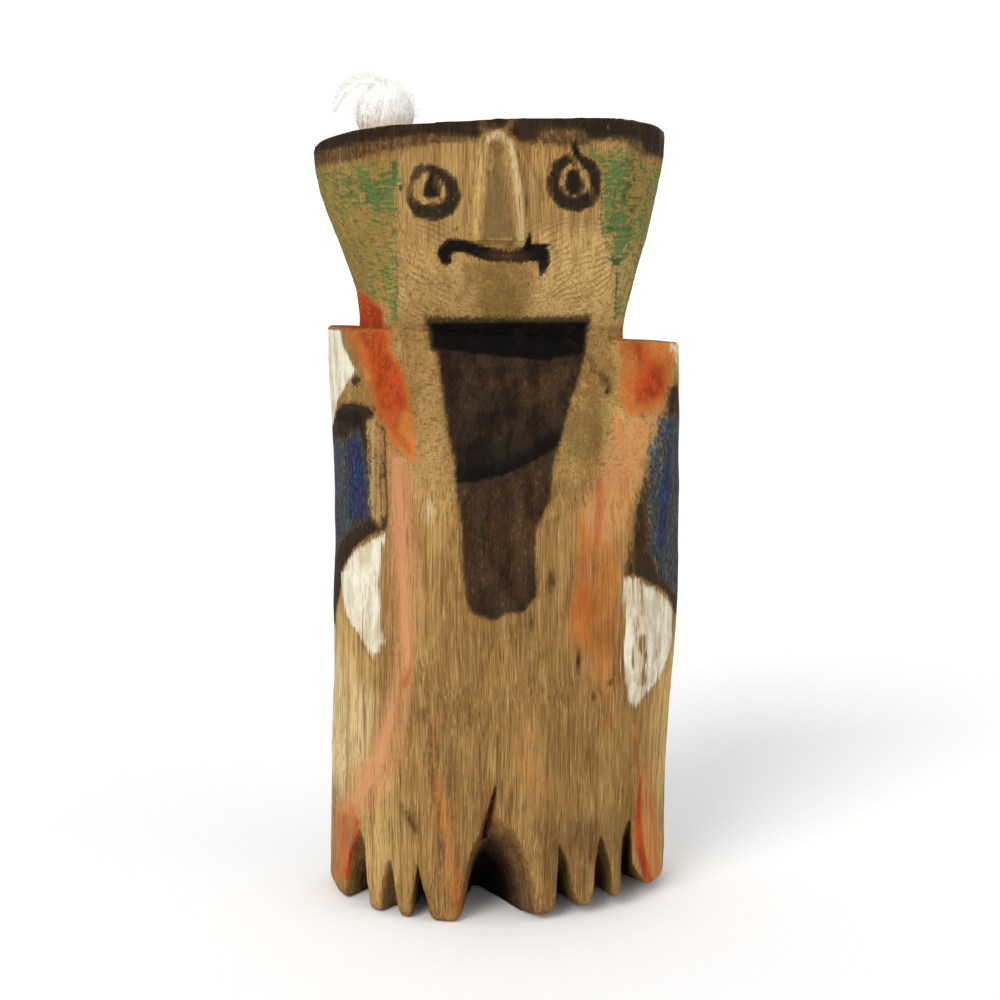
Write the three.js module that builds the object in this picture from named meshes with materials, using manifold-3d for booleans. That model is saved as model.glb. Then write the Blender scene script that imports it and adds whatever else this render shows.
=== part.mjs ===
// Flat-backed kachina doll carved from one half-round of cottonwood root, with a down feather
// whose quill stands in a hole in the top of the head. Millimetres, +Z up, front towards -Y.
import * as THREE from 'three';
import { mergeVertices } from 'three/addons/utils/BufferGeometryUtils.js';
import Module from 'manifold-3d';

const wasm = await Module();
wasm.setup();

// Driving dimensions
const BACK_Y = 28;              // flat back plane
const WIDEST_Y = 16;            // where the half-round is widest
const FRONT_DEPTH = 44;         // from the widest line to the uncut front of the log
const ROUNDNESS = 2.2;          // superellipse exponent of the front
const CORNER = 12;              // rounding between side and back
const SHOULDER_Z = 174;         // height of the shoulder cut on the centre line
const SHOULDER_SLOPE = -0.05;   // the cut drops to the doll's left shoulder (+X)
const TOP_Z = 233.8;            // saw cut of the head's top on the centre line
const TOP_SLOPE_X = 0.043;
const TOP_SLOPE_Y = -0.06;
const RING = 96;                // points round a section
const BASE_CHAMFER = 1.2;
const QUILL_R = 0.7;
const QUILL_GAP = 0.3;
const QUILL = new THREE.Vector3(-31, -3, 224.5);

// Side outline of the body: height, left x, right x
const BODY = [
  [0, -54.4, 52.7], [40, -53.4, 53], [60, -52.8, 54], [75, -52.5, 55.2], [90, -52.3, 55.8],
  [120, -51.6, 56], [150, -52.3, 55.8], [182, -53.2, 55.3],
];
// Side outline of the head: height, left x, right x, depth of its uncut front
const HEAD = [
  [166, -43.2, 37.8, 33], [176, -43.3, 38, 36], [182, -43.5, 39.2, 39], [188, -44.4, 40.8, 41],
  [196, -46.9, 42.8, 42.5], [204, -50.2, 45, 43.6], [212, -53.5, 46.9, 44], [220, -55.6, 48.4, 44],
  [227, -56.3, 49.6, 44], [240, -56.5, 50, 44],
];
// Scooped front of the chest: height, y on the centre line, curvature, cross slope
const CHEST = [
  [50, -30, 0.0065, 0], [75, -27.4, 0.0065, 0], [100, -27.2, 0.0065, 0.003], [120, -26.8, 0.0063, 0.01],
  [130, -25.6, 0.006, 0.025], [140, -23.7, 0.0055, 0.04], [150, -20.8, 0.005, 0.06],
  [160, -17.4, 0.0047, 0.08], [178, -10.5, 0.004, 0.083], [190, -6, 0.004, 0.083],
];
// Face plane with the chin running in to the neck: height, y, curvature
const FACE = [
  [160, -4, 0.0037], [170, -9, 0.0037], [175, -11.4, 0.0037], [181, -15.5, 0.0037], [188, -20, 0.0037],
  [196, -22.9, 0.0037], [203, -24.1, 0.0037], [245, -23.9, 0.0037],
];
// Nose ridge: height, half width at the face, half width at the front, y of the front
const NOSE_X = -3.9;
const NOSE = [
  [200.7, 8.8, 4.4, -28], [214, 7.8, 3.3, -27.9], [225, 6.9, 2, -27.3], [230, 5.6, 1.2, -26.4],
  [233.5, 4.4, 1, -25.1], [236, 4, 0.9, -24.8],
];
// Hem notches, left to right. mouth: points on the front as [x, z] from the left foot over the
// top to the right foot; deep: [x, y] of the innermost point on the ground
const NOTCHES = [
  { mouth: [[-49.8, 0], [-49.2, 9], [-48.2, 15.4], [-45.1, 25.6], [-43.5, 22.5], [-42.9, 9], [-42.6, 0]],
    deep: [-40.5, 8] },
  { mouth: [[-39.4, 0], [-38.5, 9.7], [-37.4, 15.6], [-36.3, 19.6], [-35.2, 12.9], [-34.1, 4], [-33.4, 0]],
    deep: [-32.5, -8] },
  { mouth: [[-30.3, 0], [-29.5, 8], [-28.6, 14], [-27.9, 17.6], [-26.9, 13], [-25.6, 8.5], [-23.4, 0]],
    deep: [-24.4, 8.5] },
  { mouth: [[-16.3, 0], [-15.1, 7.6], [-13.7, 15.6], [-11.9, 23.5], [-9, 29.5], [-5.2, 34], [0.7, 28.5],
    [5.2, 19.7], [6.5, 12], [7.1, 0]], deep: [-9.5, 7] },
  { mouth: [[12.8, 0], [14, 24.4], [16.2, 19.8], [17, 15.5], [18.2, 9.2], [19.8, 4], [20.6, 0]], deep: [15.8, 2] },
  { mouth: [[24, 0], [25.6, 17.5], [27, 26.2], [28.9, 20], [30.3, 15], [30.9, 10], [31, 0]], deep: [27.5, 4] },
  { mouth: [[33.6, 0], [33.8, 14], [34.5, 24.6], [36.9, 29], [37.4, 21.8], [37.8, 13.8], [39.9, 9.9],
    [43.3, 4.5], [45.8, 0]], deep: [39.5, 14] },
];

// Smooth value of column i at height z from a table of stations
function along(table, z, i) {
  if (z <= table[0][0]) return table[0][i];
  const last = table.length - 1;
  if (z >= table[last][0]) return table[last][i];
  const k = table.findIndex((row) => row[0] > z) - 1;
  const slope = (j) => {
    const a = table[Math.max(j - 1, 0)], b = table[Math.min(j + 1, last)];
    return (b[i] - a[i]) / (b[0] - a[0]);
  };
  const [z0, z1] = [table[k][0], table[k + 1][0]];
  const h = z1 - z0, t = (z - z0) / h;
  const [p0, p1, m0, m1] = [table[k][i], table[k + 1][i], slope(k) * h, slope(k + 1) * h];
  return p0 * (2 * t ** 3 - 3 * t ** 2 + 1) + m0 * (t ** 3 - 2 * t ** 2 + t)
    + p1 * (3 * t ** 2 - 2 * t ** 3) + m1 * (t ** 3 - t ** 2);
}

// Front of the uncut log at x, for a section from left to right
function logY(x, left, right, depth) {
  const c = (left + right) / 2, a = (right - left) / 2;
  const t = Math.min(Math.abs(x - c) / a, 1);
  return WIDEST_Y - depth * (1 - t ** ROUNDNESS) ** (1 / ROUNDNESS);
}

// Closed half-round section: superelliptic front, rounded corners, flat back
function section(left, right, depth, inset = 0) {
  const c = (left + right) / 2, a = (right - left) / 2 - inset;
  const points = [];
  const front = Math.round(RING * 0.72), side = Math.round(RING * 0.06), back = RING - front - 2 * side;
  for (let i = 0; i <= front; i += 1) {
    const w = Math.PI * (i / front);
    const s = Math.sin(w) ** (2 / ROUNDNESS), q = Math.abs(Math.cos(w)) ** (2 / ROUNDNESS);
    points.push([c - a * q * Math.sign(Math.cos(w)), WIDEST_Y - (depth - inset) * s]);
  }
  const r = CORNER, yc = BACK_Y - inset - r;
  for (let i = 1; i <= side; i += 1) {
    const w = (Math.PI / 2) * (i / side);
    points.push([c + a - r + r * Math.cos(w), yc + r * Math.sin(w)]);
  }
  for (let i = 1; i < back; i += 1) {
    points.push([c + (a - r) * (1 - 2 * (i / back)), BACK_Y - inset]);
  }
  for (let i = side; i >= 1; i -= 1) {
    const w = (Math.PI / 2) * (i / side);
    points.push([c - a + r - r * Math.cos(w), yc + r * Math.sin(w)]);
  }
  return points;
}

function geometryOf(vertices, faces) {
  const g = new THREE.BufferGeometry();
  g.setAttribute('position', new THREE.Float32BufferAttribute(vertices.flat(), 3));
  let volume = 0;
  for (const [i, j, k] of faces) {
    const a = new THREE.Vector3(...vertices[i]);
    volume += a.dot(new THREE.Vector3(...vertices[j]).cross(new THREE.Vector3(...vertices[k])));
  }
  g.setIndex(faces.flatMap((f) => (volume < 0 ? [f[0], f[2], f[1]] : f)));
  return g;
}

const centroid = (ring) => [0, 1, 2].map((j) => ring.reduce((s, p) => s + p[j], 0) / ring.length);

// Skin over rings of [x, y, z] points, closed at both ends by fans to a hub point
function loft(rings, hub = centroid) {
  const n = rings[0].length;
  const vertices = rings.flat();
  const faces = [];
  for (let k = 0; k + 1 < rings.length; k += 1) {
    for (let i = 0; i < n; i += 1) {
      const a = k * n + i, b = k * n + (i + 1) % n;
      faces.push([a, b, b + n], [a, b + n, a + n]);
    }
  }
  for (const [start, flip] of [[0, true], [(rings.length - 1) * n, false]]) {
    const ring = rings[flip ? 0 : rings.length - 1];
    const m = vertices.push(hub(ring)) - 1;
    for (let i = 0; i < n; i += 1) {
      const a = start + i, b = start + (i + 1) % n;
      faces.push(flip ? [b, a, m] : [a, b, m]);
    }
  }
  return geometryOf(vertices, faces);
}

function solid(geometry) {
  const g = geometry.clone();
  g.deleteAttribute('normal');
  g.deleteAttribute('uv');
  const m = mergeVertices(g, 1e-5);
  return new wasm.Manifold(new wasm.Mesh({
    numProp: 3,
    vertProperties: new Float32Array(m.attributes.position.array),
    triVerts: new Uint32Array(m.index.array),
  }));
}

function geometryFrom(manifold) {
  const mesh = manifold.getMesh();
  const g = new THREE.BufferGeometry();
  g.setAttribute('position', new THREE.BufferAttribute(new Float32Array(mesh.vertProperties), 3));
  g.setIndex(new THREE.BufferAttribute(new Uint32Array(mesh.triVerts), 1));
  g.computeVertexNormals();
  return g;
}

const shoulderZ = (x) => SHOULDER_Z + SHOULDER_SLOPE * x;
const topZ = (x, y) => TOP_Z + TOP_SLOPE_X * x + TOP_SLOPE_Y * (y + 5);

// Body: log section lofted from the ground to the sloping shoulder cut
function body() {
  const rings = [0, 2.2, 10, 22, 34, 46, 58, 70, 82, 94, 108, 122, 136, 150, 162].map((z) => {
    const inset = z === 0 ? BASE_CHAMFER : 0;
    return section(along(BODY, z, 1), along(BODY, z, 2), FRONT_DEPTH, inset).map(([x, y]) => [x, y, z]);
  });
  for (const inset of [0, 0.8]) {
    const ring = section(along(BODY, 174, 1), along(BODY, 174, 2), FRONT_DEPTH, inset);
    rings.push(ring.map(([x, y]) => [x, y, shoulderZ(x) - (inset ? 0 : 0.8)]));
  }
  return solid(loft(rings));
}

// Head: the same half-round, drawn in to the neck, with a sloping sawn top
function head() {
  const rings = [166, 172, 176, 180, 184, 188, 193, 198, 204, 210, 216, 222, 227].map((z) => (
    section(along(HEAD, z, 1), along(HEAD, z, 2), along(HEAD, z, 3)).map(([x, y]) => [x, y, z])
  ));
  for (const inset of [0, 0.9]) {
    const ring = section(along(HEAD, 232, 1), along(HEAD, 232, 2), along(HEAD, 232, 3), inset);
    rings.push(ring.map(([x, y]) => [x, y, topZ(x, y) - (inset ? 0 : 0.9)]));
  }
  return solid(loft(rings));
}

// Everything in front of a scooped surface y = centre + curvature x² + slope x
function frontCutter(table, heights, centreX, slope) {
  const steps = 28, reach = 66;
  return solid(loft(heights.map((z) => {
    const ring = [];
    for (let i = 0; i <= steps; i += 1) {
      const u = -reach + (2 * reach * i) / steps;
      const tilt = slope ? along(table, z, 3) * u : 0;
      ring.push([centreX + u, along(table, z, 1) + along(table, z, 2) * u * u + tilt, z]);
    }
    ring.push([centreX + reach, -60, z], [centreX - reach, -60, z]);
    return ring;
  }), (ring) => [centreX, -58, ring[0][2]]));
}

// Square-ended ridge of the nose, running faintly on to the head's top
function nose() {
  return solid(loft(NOSE.map(([z, base, front, y]) => [
    [NOSE_X - base, -23.2, z], [NOSE_X - front, y, z], [NOSE_X, y, z], [NOSE_X + front, y, z],
    [NOSE_X + base, -23.2, z], [NOSE_X + base, -18, z], [NOSE_X - base, -18, z],
  ])));
}

// V cut: a pyramid standing on the ground whose walls pass through the mouth and the deep point
function notch({ mouth, deep }) {
  const apex = new THREE.Vector3(deep[0], deep[1], -2);
  const rim = mouth.map(([x, z]) => {
    const y = logY(x, along(BODY, z, 1), along(BODY, z, 2), FRONT_DEPTH);
    return new THREE.Vector3(x, y, z === 0 ? -2 : z).sub(apex).multiplyScalar(1.55).add(apex);
  });
  const vertices = [apex, ...rim].map((p) => [p.x, p.y, p.z]);
  const n = rim.length;
  const faces = [];
  for (let i = 1; i <= n; i += 1) faces.push([0, i, (i % n) + 1]);
  for (let i = 2; i < n; i += 1) faces.push([1, i + 1, i]);
  return solid(geometryOf(vertices, faces));
}

// Narrow split running up from the middle notch
function split() {
  const deep = new THREE.Vector3(-7.6, -13, 23.5);
  const rim = [[-9.6, 24], [-8.8, 29.6], [-7.9, 34], [-4.9, 44.2], [-4.1, 43.8], [-5.4, 34], [-5.6, 24]].map(([x, z]) => (
    new THREE.Vector3(x, -28, z).sub(deep).multiplyScalar(1.5).add(deep)
  ));
  const vertices = [deep, ...rim].map((p) => [p.x, p.y, p.z]);
  const n = rim.length;
  const faces = [];
  for (let i = 1; i <= n; i += 1) faces.push([0, i, (i % n) + 1]);
  for (let i = 2; i < n; i += 1) faces.push([1, i + 1, i]);
  return solid(geometryOf(vertices, faces));
}

// The feet at the front right are cut a little short, along one slanting plane
function shortFeet() {
  const dir = new THREE.Vector2(0.6, -0.8), side = new THREE.Vector2(0.8, 0.6);
  const profile = [[16, -4], [16, 0], [60, 8.8], [60, -4]];
  return solid(loft([-70, 70].map((v) => profile.map(([s, z]) => (
    [dir.x * s + side.x * v, dir.y * s + side.y * v, z]
  )))));
}

const cylinder = (radius, bottom, top, sides) => {
  const g = new THREE.CylinderGeometry(radius, radius, top - bottom, sides);
  g.rotateX(Math.PI / 2);
  g.translate(QUILL.x, QUILL.y, (top + bottom) / 2);
  return solid(g);
};

const heights = (from, to, step) => {
  const list = [];
  for (let z = from; z <= to + 1e-6; z += step) list.push(z);
  return list;
};

let doll = body().subtract(frontCutter(CHEST, heights(50, 190, 5), 0, true));
const headMiddle = -3.4;
let top = head().subtract(frontCutter(FACE, heights(160, 244, 4), headMiddle, false));
top = top.add(nose());
doll = doll.add(top);
const aboveTop = solid(loft([0, 20].map((up) => [[-80, -60], [80, -60], [80, 60], [-80, 60]].map(([x, y]) => (
  [x, y, topZ(x, y) + up]
)))));
doll = doll.subtract(aboveTop);
for (const cut of NOTCHES) doll = doll.subtract(notch(cut));
doll = doll.subtract(split()).subtract(shortFeet());
doll = doll.subtract(cylinder(QUILL_R + QUILL_GAP, QUILL.z - QUILL_GAP, 245, 20));

// Feather: quill, a puff of down just above the head, and a strand that curls over to the left
function feather() {
  const puff = new THREE.SphereGeometry(1, 20, 12);
  puff.scale(9, 3, 7.1);
  puff.translate(QUILL.x - 4.3, QUILL.y, 240.4);
  const spine = new THREE.CatmullRomCurve3([
    [-33, -3, 238], [-34.5, -3.2, 243], [-37, -3.4, 246.4], [-41, -3, 247.9], [-45.6, -2.4, 246.2],
    [-49, -2, 242.8], [-50.4, -1.8, 238.8],
  ].map((p) => new THREE.Vector3(...p)));
  const rings = [[0, 2], [0.15, 2], [0.3, 1.8], [0.45, 1.6], [0.6, 1.3], [0.75, 1], [0.9, 0.7], [1, 0.4]];
  const strand = loft(rings.map(([t, reach]) => {
    const p = spine.getPointAt(t), d = spine.getTangentAt(t);
    const across = new THREE.Vector3(d.z, 0, -d.x).normalize();
    return [0, 1, 2, 3, 4, 5, 6, 7].map((i) => {
      const u = reach * Math.cos((i * Math.PI) / 4), v = 0.75 * reach * Math.sin((i * Math.PI) / 4);
      return [p.x + across.x * u, p.y + v, p.z + across.z * u];
    });
  }));
  return solid(puff).add(solid(strand)).add(cylinder(QUILL_R, QUILL.z, 238, 12));
}

const group = new THREE.Group();
group.name = 'kachina_doll';
function part(name, manifold, color, roughness) {
  const mesh = new THREE.Mesh(
    geometryFrom(manifold),
    new THREE.MeshStandardMaterial({ color, roughness, metalness: 0 }),
  );
  mesh.name = name;
  group.add(mesh);
}
part('doll', doll, '#a88454', 0.85);
part('feather', feather(), '#f3f2e7', 0.95);

export default group;
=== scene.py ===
# %% [markdown]
# # A painted kachina doll
# One half of a cottonwood root, split flat at the back, is carved into a squared head, a neck,
# a scooped chest and a notched hem, and painted with thin earth paints that have worn down to
# the wood. A small down feather stands in a hole in the top of the head.
# The lesson loads the carved solids, turns the wood into a fine mesh, weathers and paints it,
# and then makes the feather barb by barb.

# %% Load the carved solids
import math
import bpy
import numpy as np
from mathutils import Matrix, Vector


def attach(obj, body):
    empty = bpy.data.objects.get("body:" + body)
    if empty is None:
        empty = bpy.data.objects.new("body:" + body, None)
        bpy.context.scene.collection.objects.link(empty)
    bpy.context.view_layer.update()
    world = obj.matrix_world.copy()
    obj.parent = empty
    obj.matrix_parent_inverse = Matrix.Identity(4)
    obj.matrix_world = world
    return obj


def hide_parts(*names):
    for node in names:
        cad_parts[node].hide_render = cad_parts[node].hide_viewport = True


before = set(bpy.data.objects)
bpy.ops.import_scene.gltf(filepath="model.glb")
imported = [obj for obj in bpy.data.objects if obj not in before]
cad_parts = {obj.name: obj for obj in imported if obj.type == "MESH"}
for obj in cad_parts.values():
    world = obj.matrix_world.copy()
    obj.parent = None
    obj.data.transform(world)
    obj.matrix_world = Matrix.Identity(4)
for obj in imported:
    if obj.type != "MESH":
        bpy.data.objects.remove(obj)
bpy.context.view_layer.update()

MM = 0.001      # sizes below are in millimetres, and Blender's unit is the metre


def clear_selection():
    bpy.ops.object.select_all(action="DESELECT")


def pick(thing):
    """Selects one object alone and makes it active."""
    clear_selection()
    thing.select_set(True)
    bpy.context.view_layer.objects.active = thing


# %% [markdown]
# ## The camera
# The doll is seen from a little to its right-hand side and from just above its shoulders, with
# a long-ish lens so that the straight sides stay nearly parallel.

# %% Camera
camera_data = bpy.data.cameras.new("camera")
camera_data.lens = 57.6
camera_data.sensor_width = 36
camera_data.clip_start = 0.01
camera = bpy.data.objects.new("camera", camera_data)
bpy.context.scene.collection.objects.link(camera)
camera.location = (-0.0435, -0.4822, 0.184)
aim = Vector((-0.0013, 0, 0.1237)) - camera.location
camera.rotation_euler = aim.to_track_quat("-Z", "Y").to_euler()
bpy.context.scene.camera = camera
print("camera", round(aim.length * 1000), "mm from the doll")

# %% [markdown]
# ## Floor and light
# A plain pale floor and the soft light of a small studio: one broad light from the upper left in
# front, a weak one from the right, and a white sky that is brightest low down, so that upright
# faces are filled from all round and hollows stay dark.

# %% Floor
clear_selection()
bpy.ops.mesh.primitive_plane_add(size=12, location=(0, 2, 0))
floor = bpy.context.object
floor.name = "floor"
floor_paint = bpy.data.materials.new("pale_floor")
floor_paint.use_nodes = True
shader = floor_paint.node_tree.nodes["Principled BSDF"]
grain = floor_paint.node_tree.nodes.new("ShaderNodeTexNoise")
grain.inputs["Scale"].default_value = 40
tint = floor_paint.node_tree.nodes.new("ShaderNodeMix")
tint.data_type = "RGBA"
tint.inputs["A"].default_value = (0.965, 0.965, 0.965, 1)
tint.inputs["B"].default_value = (0.98, 0.98, 0.98, 1)
floor_paint.node_tree.links.new(grain.outputs["Fac"], tint.inputs["Factor"])
floor_paint.node_tree.links.new(tint.outputs["Result"], shader.inputs["Base Color"])
shader.inputs["Roughness"].default_value = 0.9
floor.data.materials.append(floor_paint)


# %% Lights
def sun(name, way, strength, softness, colour):
    """A distant light that shines along a direction, softness in degrees."""
    data = bpy.data.lights.new(name, "SUN")
    data.energy = strength
    data.angle = math.radians(softness)
    data.color = colour
    light = bpy.data.objects.new(name, data)
    bpy.context.scene.collection.objects.link(light)
    light.rotation_euler = Vector(way).to_track_quat("-Z", "Y").to_euler()


sun("key", way=(0.55, 0.72, -0.66), strength=1.7, softness=30, colour=(1, 0.995, 0.985))
sun("side", way=(-0.8, 0.5, -0.5), strength=0.4, softness=50, colour=(1, 1, 1))

# %% Sky
LOW_SKY, HIGH_SKY = 1.14, 0.62      # brightness near the horizon and overhead
sky = bpy.data.worlds.new("white_sky")
sky.use_nodes = True
sky_nodes = sky.node_tree.nodes
sky_links = sky.node_tree.links
looking = sky_nodes.new("ShaderNodeTexCoord")
axes = sky_nodes.new("ShaderNodeSeparateXYZ")
lift = sky_nodes.new("ShaderNodeMapRange")
lift.inputs["From Min"].default_value = 0.05
lift.inputs["From Max"].default_value = 0.7
lift.inputs["To Min"].default_value = LOW_SKY
lift.inputs["To Max"].default_value = HIGH_SKY
sky_links.new(looking.outputs["Generated"], axes.inputs[0])
sky_links.new(axes.outputs["Z"], lift.inputs["Value"])
sky_links.new(lift.outputs["Result"], sky_nodes["Background"].inputs["Strength"])
sky_nodes["Background"].inputs["Color"].default_value = (1, 1, 1, 1)
bpy.context.scene.world = sky
bpy.context.scene.view_settings.view_transform = "Standard"

# %% [markdown]
# ## The wood
# The real doll is one piece of soft root wood. A knife leaves crisp edges at the notches and the
# nose but slightly wavy faces between them. A sharp remesh of the carved solid keeps those edges
# and gives even small quads, about a millimetre across, that the later steps can push about.

# %% Copy and merge the solid
wood_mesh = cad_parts["doll"].data.copy()
wood = bpy.data.objects.new("painted_doll", wood_mesh)
bpy.context.scene.collection.objects.link(wood)
pick(wood)
wood.data.materials.clear()
bpy.ops.object.mode_set(mode="EDIT")
bpy.ops.mesh.select_all(action="SELECT")
bpy.ops.mesh.remove_doubles(threshold=0.001 * MM)
bpy.ops.object.mode_set(mode="OBJECT")
if wood.data.has_custom_normals:
    bpy.ops.mesh.customdata_custom_splitnormals_clear()
print("merged solid:", len(wood.data.vertices), "points")

# %% Remesh to even small quads
remesh = wood.modifiers.new("even_quads", "REMESH")
remesh.mode = "SHARP"
remesh.octree_depth = 8
remesh.scale = 0.93
remesh.sharpness = 1.0
remesh.use_smooth_shade = True
bpy.ops.object.modifier_apply(modifier=remesh.name)
print("remeshed wood:", len(wood.data.polygons), "faces")

# %% Take the tool's stepping out of the curved faces
relax = wood.modifiers.new("relax", "SMOOTH")
relax.factor = 0.45
relax.iterations = 3
bpy.ops.object.modifier_apply(modifier=relax.name)


# %% [markdown]
# ## Reading the surface
# Carving marks and paint are laid by place: across (x), deep (y) and up (z), in millimetres, with
# each point's own facing. These arrays are read once and used by every step that follows.

# %% Points and facings as arrays
def read_points():
    count = len(wood.data.vertices)
    co = np.empty(count * 3, np.float32)
    wood.data.vertices.foreach_get("co", co)
    no = np.empty(count * 3, np.float32)
    wood.data.vertices.foreach_get("normal", no)
    return co.reshape(-1, 3).astype(float) / MM, no.reshape(-1, 3).astype(float)


def write_points(points):
    wood.data.vertices.foreach_set("co", (points * MM).astype(np.float32).ravel())
    wood.data.update()


def ramp(value, start, end):
    """0 before start, 1 after end, smooth between."""
    t = np.clip((value - start) / (end - start), 0, 1)
    return t * t * (3 - 2 * t)


spots, facing = read_points()
print("reach:", spots.min(0).round(1), spots.max(0).round(1))


# %% [markdown]
# ## Tool marks and raised grain
# Along the grain the soft wood weathers into fine upright furrows. Where the knife crossed the
# grain, in the scooped chest and under the chin, it tore short pits instead. Both are pushed in
# with Displace, through vertex groups that say where each belongs. An empty stretched along z
# carries the pattern, so that the furrows run with the grain.

# %% Where each kind of surface is
def share(name, weights):
    """A vertex group from an array of weights, laid in ten steps."""
    group = wood.vertex_groups.new(name=name)
    steps = np.round(np.clip(weights, 0, 1) * 10).astype(int)
    for step in range(1, 11):
        chosen = np.flatnonzero(steps == step)
        if len(chosen):
            group.add(chosen.tolist(), step / 10, "REPLACE")


x, y, z = spots.T
front = ramp(-facing[:, 1], -0.15, 0.15)
upright = 1 - ramp(np.abs(facing[:, 2]), 0.25, 0.6)
scooped = front * ramp(z, 122, 136) * (1 - ramp(z, 173, 176)) * (1 - ramp(np.abs(x - 2), 44, 50))
chin = front * ramp(z, 175, 179) * (1 - ramp(z, 199, 204))
behind = ramp(facing[:, 1], 0.5, 0.9)
share("furrows", upright * (1 - scooped) * (1 - 0.8 * chin) * (1 - 0.4 * behind))
share("pits", scooped)
share("knife", np.clip(upright + 0.4, 0, 1))


# %% Push the patterns in
def push_in(group, size, stretch, depth, seed, detail=2):
    """Displaces the wood by a clouded pattern: size in mm, stretch along the grain, depth in mm."""
    pattern = bpy.data.textures.new(group + "_pattern", "CLOUDS")
    pattern.noise_scale = size
    pattern.noise_depth = detail
    carrier = bpy.data.objects.new(group + "_carrier", None)
    bpy.context.scene.collection.objects.link(carrier)
    carrier.scale = (MM, MM, MM * stretch)
    carrier.location = (seed * 0.013, seed * 0.007, seed * 0.011)
    bpy.context.view_layer.update()
    push = wood.modifiers.new(group, "DISPLACE")
    push.texture = pattern
    push.texture_coords = "OBJECT"
    push.texture_coords_object = carrier
    push.vertex_group = group
    push.mid_level = 0.5
    push.strength = depth * MM
    pick(wood)
    bpy.ops.object.modifier_apply(modifier=push.name)
    bpy.data.objects.remove(carrier)


push_in("knife", size=9, stretch=2.6, depth=0.9, seed=1, detail=1)
push_in("furrows", size=1.7, stretch=14, depth=0.75, seed=2)
push_in("pits", size=1.9, stretch=1.6, depth=1.1, seed=3)
spots, facing = read_points()
print("after the grain:", spots.min(0).round(1), spots.max(0).round(1))

# %% [markdown]
# ## Small cuts, cracks and worn edges
# Years of handling round the tips of the hem's teeth, and drying opens short cracks along the
# grain. A smooth with a vertex group rounds the tips. A crack is a short groove: the points near
# its line move inwards along their own facing.

# %% Round the tips of the teeth
x, y, z = spots.T
share("tips", (1 - ramp(z, 4, 10)) * (1 - ramp(y, 8, 16)))
wear = wood.modifiers.new("worn_tips", "SMOOTH")
wear.factor = 0.5
wear.iterations = 22
wear.vertex_group = "tips"
bpy.ops.object.modifier_apply(modifier=wear.name)
spots, facing = read_points()


# %% Cracks and grooves
def sides(points, u, v):
    """Each side of a line: its ends, every point's gap from it, and the share of its length there."""
    for (au, av), (bu, bv) in zip(points, points[1:]):
        length = (bu - au) ** 2 + (bv - av) ** 2
        t = np.clip(((u - au) * (bu - au) + (v - av) * (bv - av)) / length, 0, 1)
        yield au, av, bu, bv, np.hypot(u - au - t * (bu - au), v - av - t * (bv - av)), t


def groove(points, wide, deep):
    """Cuts a groove, wide and deep in mm, along a line on the front."""
    global spots
    gap = np.min([side[4] for side in sides(points, spots[:, 0], spots[:, 2])], axis=0)
    cut = np.exp(-(gap / wide) ** 2) * deep
    spots = spots - facing * (cut * (facing[:, 1] < 0.1))[:, None]


knot_line = [(24.4, 168), (26.2, 164.8), (24.9, 163.5), (27.4, 162.6), (30.2, 160.6), (30.8, 158.2),
             (29.4, 157)]
for line, wide, deep in (
        (knot_line, 0.8, 0.9),
        ([(19.9, 81.2), (19.9, 75.8)], 0.7, 1.3),
        ([(38, 61.5), (39.2, 50), (39.8, 41)], 0.6, 0.5),
        ([(-37.6, 152), (-36.9, 140), (-36.2, 121)], 0.6, 0.6),
        ([(-10.2, 227.5), (-11.6, 219), (-12.3, 206)], 0.8, 0.45),
        ([(2.2, 227), (3.6, 216), (4.8, 204), (5, 201.5)], 0.7, 0.6),
        ([(3.4, 228), (6, 221), (9.4, 213)], 0.6, 0.35),
        ([(-8.2, 201.5), (-7.4, 213)], 0.6, 0.3),
        ([(-19, 160.6), (-6, 161.4)], 0.6, 0.4)):
    groove(line, wide, deep)
write_points(spots)
spots, facing = read_points()
print("after the cracks:", spots.min(0).round(1), spots.max(0).round(1))

# %% [markdown]
# ## Painting
# The painter worked with thin paint and a chewed-fibre brush, so an edge wanders and the paint
# sits on the raised fibres. Each paint is one number per point, its load: 1 where the brush left
# a full coat, near a half where it dragged dry, 0 where there is bare wood. The material breaks
# the load up along the fibres. The shapes are simple: ovals, strokes and cut-out patches, given
# in millimetres across (x) and up (z) on the front, or deep (y) and up (z) on the sides.

# %% Shapes as signed distance, positive inside
x, y, z = spots.T
count = len(spots)


def oval(cx, cz, rx, rz):
    r = np.hypot((across - cx) / rx, (z - cz) / rz)
    return (1 - r) * min(rx, rz)


def stroke(points, widths):
    """A brush stroke through points, as wide at each as the widths say."""
    best = np.full(count, -99.0)
    for (*_, gap, t), wa, wb in zip(sides(points, across, z), widths, widths[1:]):
        best = np.maximum(best, (wa + t * (wb - wa)) / 2 - gap)
    return best


def patch(points):
    """A patch with straight sides through the points, in order round it."""
    nearest = np.full(count, 1e9)
    inside = np.zeros(count, bool)
    for au, av, bu, bv, gap, _ in sides(points + points[:1], across, z):
        nearest = np.minimum(nearest, gap)
        if av != bv:
            inside ^= ((av > z) != (bv > z)) & (across < (bu - au) * (z - av) / (bv - av) + au)
    return np.where(inside, nearest, -nearest)


# %% Laying paint and wiping it off
paints = {}
faces_front = ramp(-facing[:, 1], -0.05, 0.2)
across, region = x, faces_front     # what the shapes lie across, and where the paint may go


def lay(paint, shape, load, soft, where=None):
    """Adds a shape to a paint. The edge of the shape is where the load falls to one half."""
    old = paints.setdefault(paint, np.zeros(count))
    new = load * np.clip(0.5 + shape / (2 * soft), 0, 1)
    paints[paint] = np.maximum(old, new * (region if where is None else where))


def brush(paint, points, widths, load, soft, where=None):
    lay(paint, stroke(points, widths), load, soft, where)


def fill(paint, points, load, soft, where=None):
    lay(paint, patch(points), load, soft, where)


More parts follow.
